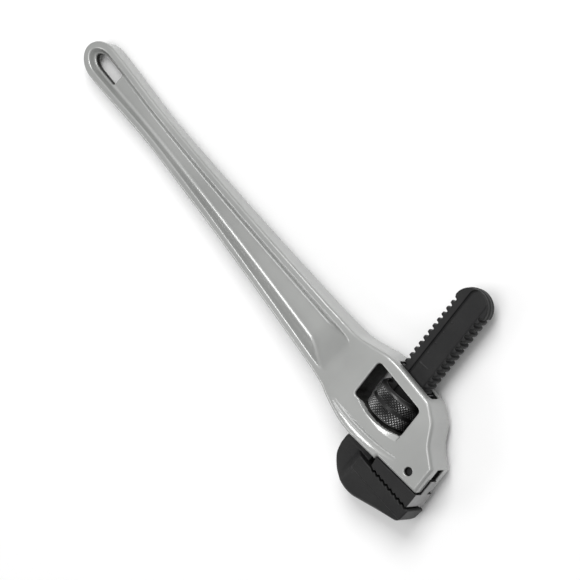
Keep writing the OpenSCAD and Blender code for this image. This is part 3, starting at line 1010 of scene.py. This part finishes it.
def buildNut():
    # The outside is a grid round the axis: a profile of radius against length, plus diamonds, which are
    # the lesser of two saw waves that lean opposite ways. The bore closes it.
    size = nutSize
    turns = size["knurls"] * 10
    half = size["half"]
    outer = np.concatenate([[-half, -half + 0.5], np.arange(-14.2, 14.9, 0.33), [half]])
    band = np.zeros(len(outer))
    for low, high in (size["upperBand"], size["lowerBand"]):
        band = np.maximum(band, smoothStep((outer - low) / 0.5) * smoothStep((high - outer) / 0.5))
    base = size["radius"] - size["groove"] * np.clip(1 - band, 0, 1) * (outer < 2)
    base = base - size["lowerRound"] * smoothStep((size["lowerFrom"] - outer) / (half + size["lowerFrom"]))
    taper = np.clip((outer - size["taperFrom"]) / (half - size["taperFrom"]), 0, 1)
    base = base - size["taper"] * taper ** 1.6
    angle = np.linspace(0, 2 * math.pi, turns, endpoint=False)
    pitch = 2 * math.pi * size["radius"] / size["knurls"]
    around = angle[None, :] * size["knurls"] / (2 * math.pi)
    one = around + outer[:, None] / pitch
    two = around - outer[:, None] / pitch
    saw = np.minimum(1 - np.abs(2 * (one % 1) - 1), 1 - np.abs(2 * (two % 1) - 1))
    radius = base[:, None] - size["knurlDepth"] * band[:, None] * (1 - 1.5 * np.clip(saw, 0, 0.667))
    chamfer = size["boreChamfer"]
    inner = np.array([half, half - chamfer, 0, -half + chamfer, -half])
    bore = size["bore"] + np.array([chamfer, 0, 0, 0, chamfer])
    radius = np.vstack([radius, np.broadcast_to(bore[:, None], (5, turns))])
    distance = np.concatenate([outer, inner])
    points = turned((radius, distance), turns, origin, vAxis, uAxis)
    faces = gridFaces(len(distance), turns, closedRows=True)
    piece = makePiece("knurled_nut", points, faces, knurledSteel)
    piece.data.set_sharp_from_angle(angle=math.radians(28))
    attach(piece, "nut")
    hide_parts("adjusting_nut")
    print("nut:", len(points), "points")


buildNut()


# ---- pin, rivet and springs

smallSize = {
    "pinHalf": 15.5,
    "pinRadius": 4.3,
    "pinRound": 0.9,
    "rivetRadius": 1.5,
    "rivetHead": 2.8,
    "rivetDome": 1.1,
    "coilRadius": 4.2,
    "coilWire": 0.65,
    "coilTurns": 5,
}


def buildPin():
    size = smallSize
    u, v = castingSize["pinAt"]
    middle = fromHead(np.array([[u, v, 0.0]]))[0]
    angle = np.linspace(0, math.pi / 2, 8)
    edge = size["pinRound"]
    end = [(size["pinRadius"] - edge + edge * math.sin(a), -size["pinHalf"] + edge - edge * math.cos(a))
           for a in angle]
    profile = [(0.05, -size["pinHalf"])] + end + [(r, -h) for r, h in end[::-1]]
    profile.append((0.05, size["pinHalf"]))
    pin = turnedPiece("heel_pin", profile, 48, middle, zAxis, np.array([1.0, 0, 0]), blackSteel)
    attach(pin, "housing")
    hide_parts("heel_jaw_pin")


def buildRivet():
    size = smallSize
    low, high = (np.array(corner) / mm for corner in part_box("flat_spring_rivet"))
    middle = (low + high) / 2
    half = (high - low) @ np.abs(uAxis) / 2 - size["rivetHead"] * abs(uAxis[1])
    radius, dome = size["rivetRadius"], size["rivetDome"]
    head = [(size["rivetHead"] * math.sin(a), -half + dome * (1 - math.cos(a)))
            for a in np.linspace(0.2, math.pi / 2, 7)]
    profile = [(0.05, -half)] + head + [(radius, -half + dome + 0.05), (radius, half), (0.05, half)]
    rivet = turnedPiece("leaf_rivet", profile, 32, middle, uAxis, vAxis, springSteel)
    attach(rivet, "housing")
    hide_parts("flat_spring_rivet")


def buildCoil():
    # a round wire carried along a helix whose axis lies across the shank
    size = smallSize
    low, high = (np.array(corner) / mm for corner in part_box("coil_spring"))
    middle = (low + high) / 2
    half = (high - low) @ np.abs(uAxis) / 2 - 2 * size["coilWire"] - size["coilRadius"] * abs(uAxis[1])
    t = np.linspace(0, 1, size["coilTurns"] * 36)
    angle = 2 * math.pi * size["coilTurns"] * t
    outward = np.cos(angle)[:, None] * vAxis + np.sin(angle)[:, None] * zAxis
    path = middle + (2 * t - 1)[:, None] * half * uAxis + size["coilRadius"] * outward
    along = np.gradient(path, axis=0)
    along = along / np.linalg.norm(along, axis=1, keepdims=True)
    second = np.cross(along, outward)
    ring = np.linspace(0, 2 * math.pi, 12, endpoint=False)[None, :, None]
    section = np.cos(ring) * outward[:, None, :] + np.sin(ring) * second[:, None, :]
    points = (path[:, None, :] + size["coilWire"] * section).reshape(-1, 3)
    faces = [tuple(face) for face in gridFaces(len(t), 12)[:, ::-1].tolist()]
    faces.append(tuple(range(12)))
    faces.append(tuple(range(len(points) - 1, len(points) - 13, -1)))
    mesh = bpy.data.meshes.new("coil")
    mesh.from_pydata((points * mm).tolist(), [], faces)
    mesh.polygons.foreach_set("use_smooth", np.ones(len(faces), bool))
    mesh.materials.append(springSteel)
    coil = bpy.data.objects.new("coil_of_wire", mesh)
    bpy.context.scene.collection.objects.link(coil)
    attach(coil, "housing")
    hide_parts("coil_spring")


buildPin()
buildRivet()
buildCoil()
leaf = frame["nodes"]["flat_spring"]
leaf.data.materials.clear()
leaf.data.materials.append(springSteel)
print("small parts made")


# ---- floor, light and camera

stageSize = {
    "look": (-163.26, -10.91, 0.0),  # from the nut's centre
    "turn": 43.4,                    # degrees from the handle to the direction that is level in view
    "tilt": 28.0,
    "roll": 4.0,
    "away": 2550.0,
    "lens": 2550.0 / 580 * 36,
    "floor": 3.0,                    # metres
    "fall": 0.0262,                  # the floor's rise per length, towards the handle's end
    "world": 0.45,
}


def buildFloor():
    half = stageSize["floor"]
    count = 13
    steps = np.linspace(-half, half, count)
    x, y = np.meshgrid(steps, steps, indexing="ij")
    points = np.stack([x, y, (origin[0] * mm - x) * stageSize["fall"] - 0.0003], -1).reshape(-1, 3)
    mesh = bpy.data.meshes.new("floor")
    mesh.from_pydata(points.tolist(), [], gridFaces(count, count, closedColumns=False).tolist())
    mesh.materials.append(floorMaterial())
    floor = bpy.data.objects.new("pale_floor", mesh)
    bpy.context.scene.collection.objects.link(floor)


def viewDirections():
    # right, up and towards the camera, in the row frame
    turn, tilt, roll = (math.radians(stageSize[key]) for key in ("turn", "tilt", "roll"))
    level = Vector((math.cos(turn), math.sin(turn), 0))
    down = Vector((math.sin(turn), -math.cos(turn), 0))
    right = math.cos(tilt) * level - math.sin(tilt) * Vector((0, 0, 1))
    back = math.sin(tilt) * level + math.cos(tilt) * Vector((0, 0, 1))
    across = math.cos(roll) * right - math.sin(roll) * down
    up = -(math.sin(roll) * right + math.cos(roll) * down)
    return across, up, back


def buildCamera():
    right, up, back = viewDirections()
    place = (Vector(origin) + Vector(stageSize["look"]) + back * stageSize["away"]) * mm
    data = bpy.data.cameras.new("camera")
    data.sensor_width = 36
    data.lens = stageSize["lens"]
    data.clip_end = 20
    camera = bpy.data.objects.new("camera", data)
    camera.matrix_world = Matrix((
        (right.x, up.x, back.x, place.x), (right.y, up.y, back.y, place.y),
        (right.z, up.z, back.z, place.z), (0, 0, 0, 1)))
    bpy.context.scene.collection.objects.link(camera)
    bpy.context.scene.camera = camera


lightSize = {
    # name: (direction in the row frame; distance in metres; size; power)
    "farBox": ((-0.17, 0.53, 0.8), 1.9, (1.0, 1.0), 24),
    "nearBox": ((-0.34, -0.73, 0.59), 2.1, (0.9, 0.8), 8),
    "topBox": ((0.05, -0.05, 1.0), 3.4, (1.7, 1.7), 26),
}


def buildLights():
    for name, (direction, away, size, power) in lightSize.items():
        direction = Vector(direction).normalized()
        data = bpy.data.lights.new(name, "AREA")
        data.shape = "RECTANGLE"
        data.size, data.size_y = size
        data.energy = power
        light = bpy.data.objects.new(name, data)
        place = (Vector(origin) + Vector(stageSize["look"])) * mm + direction * away
        turn = direction.to_track_quat("Z", "Y").to_matrix().to_4x4()
        light.matrix_world = Matrix.Translation(place) @ turn
        bpy.context.scene.collection.objects.link(light)
    world = bpy.data.worlds.new("studio")
    bpy.context.scene.world = world
    world.use_nodes = True
    background = world.node_tree.nodes["Background"]
    background.inputs["Color"].default_value = (1, 1, 1, 1)
    background.inputs["Strength"].default_value = stageSize["world"]


buildFloor()
buildCamera()
buildLights()
bpy.context.scene.view_settings.view_transform = "Standard"
print("stage set")
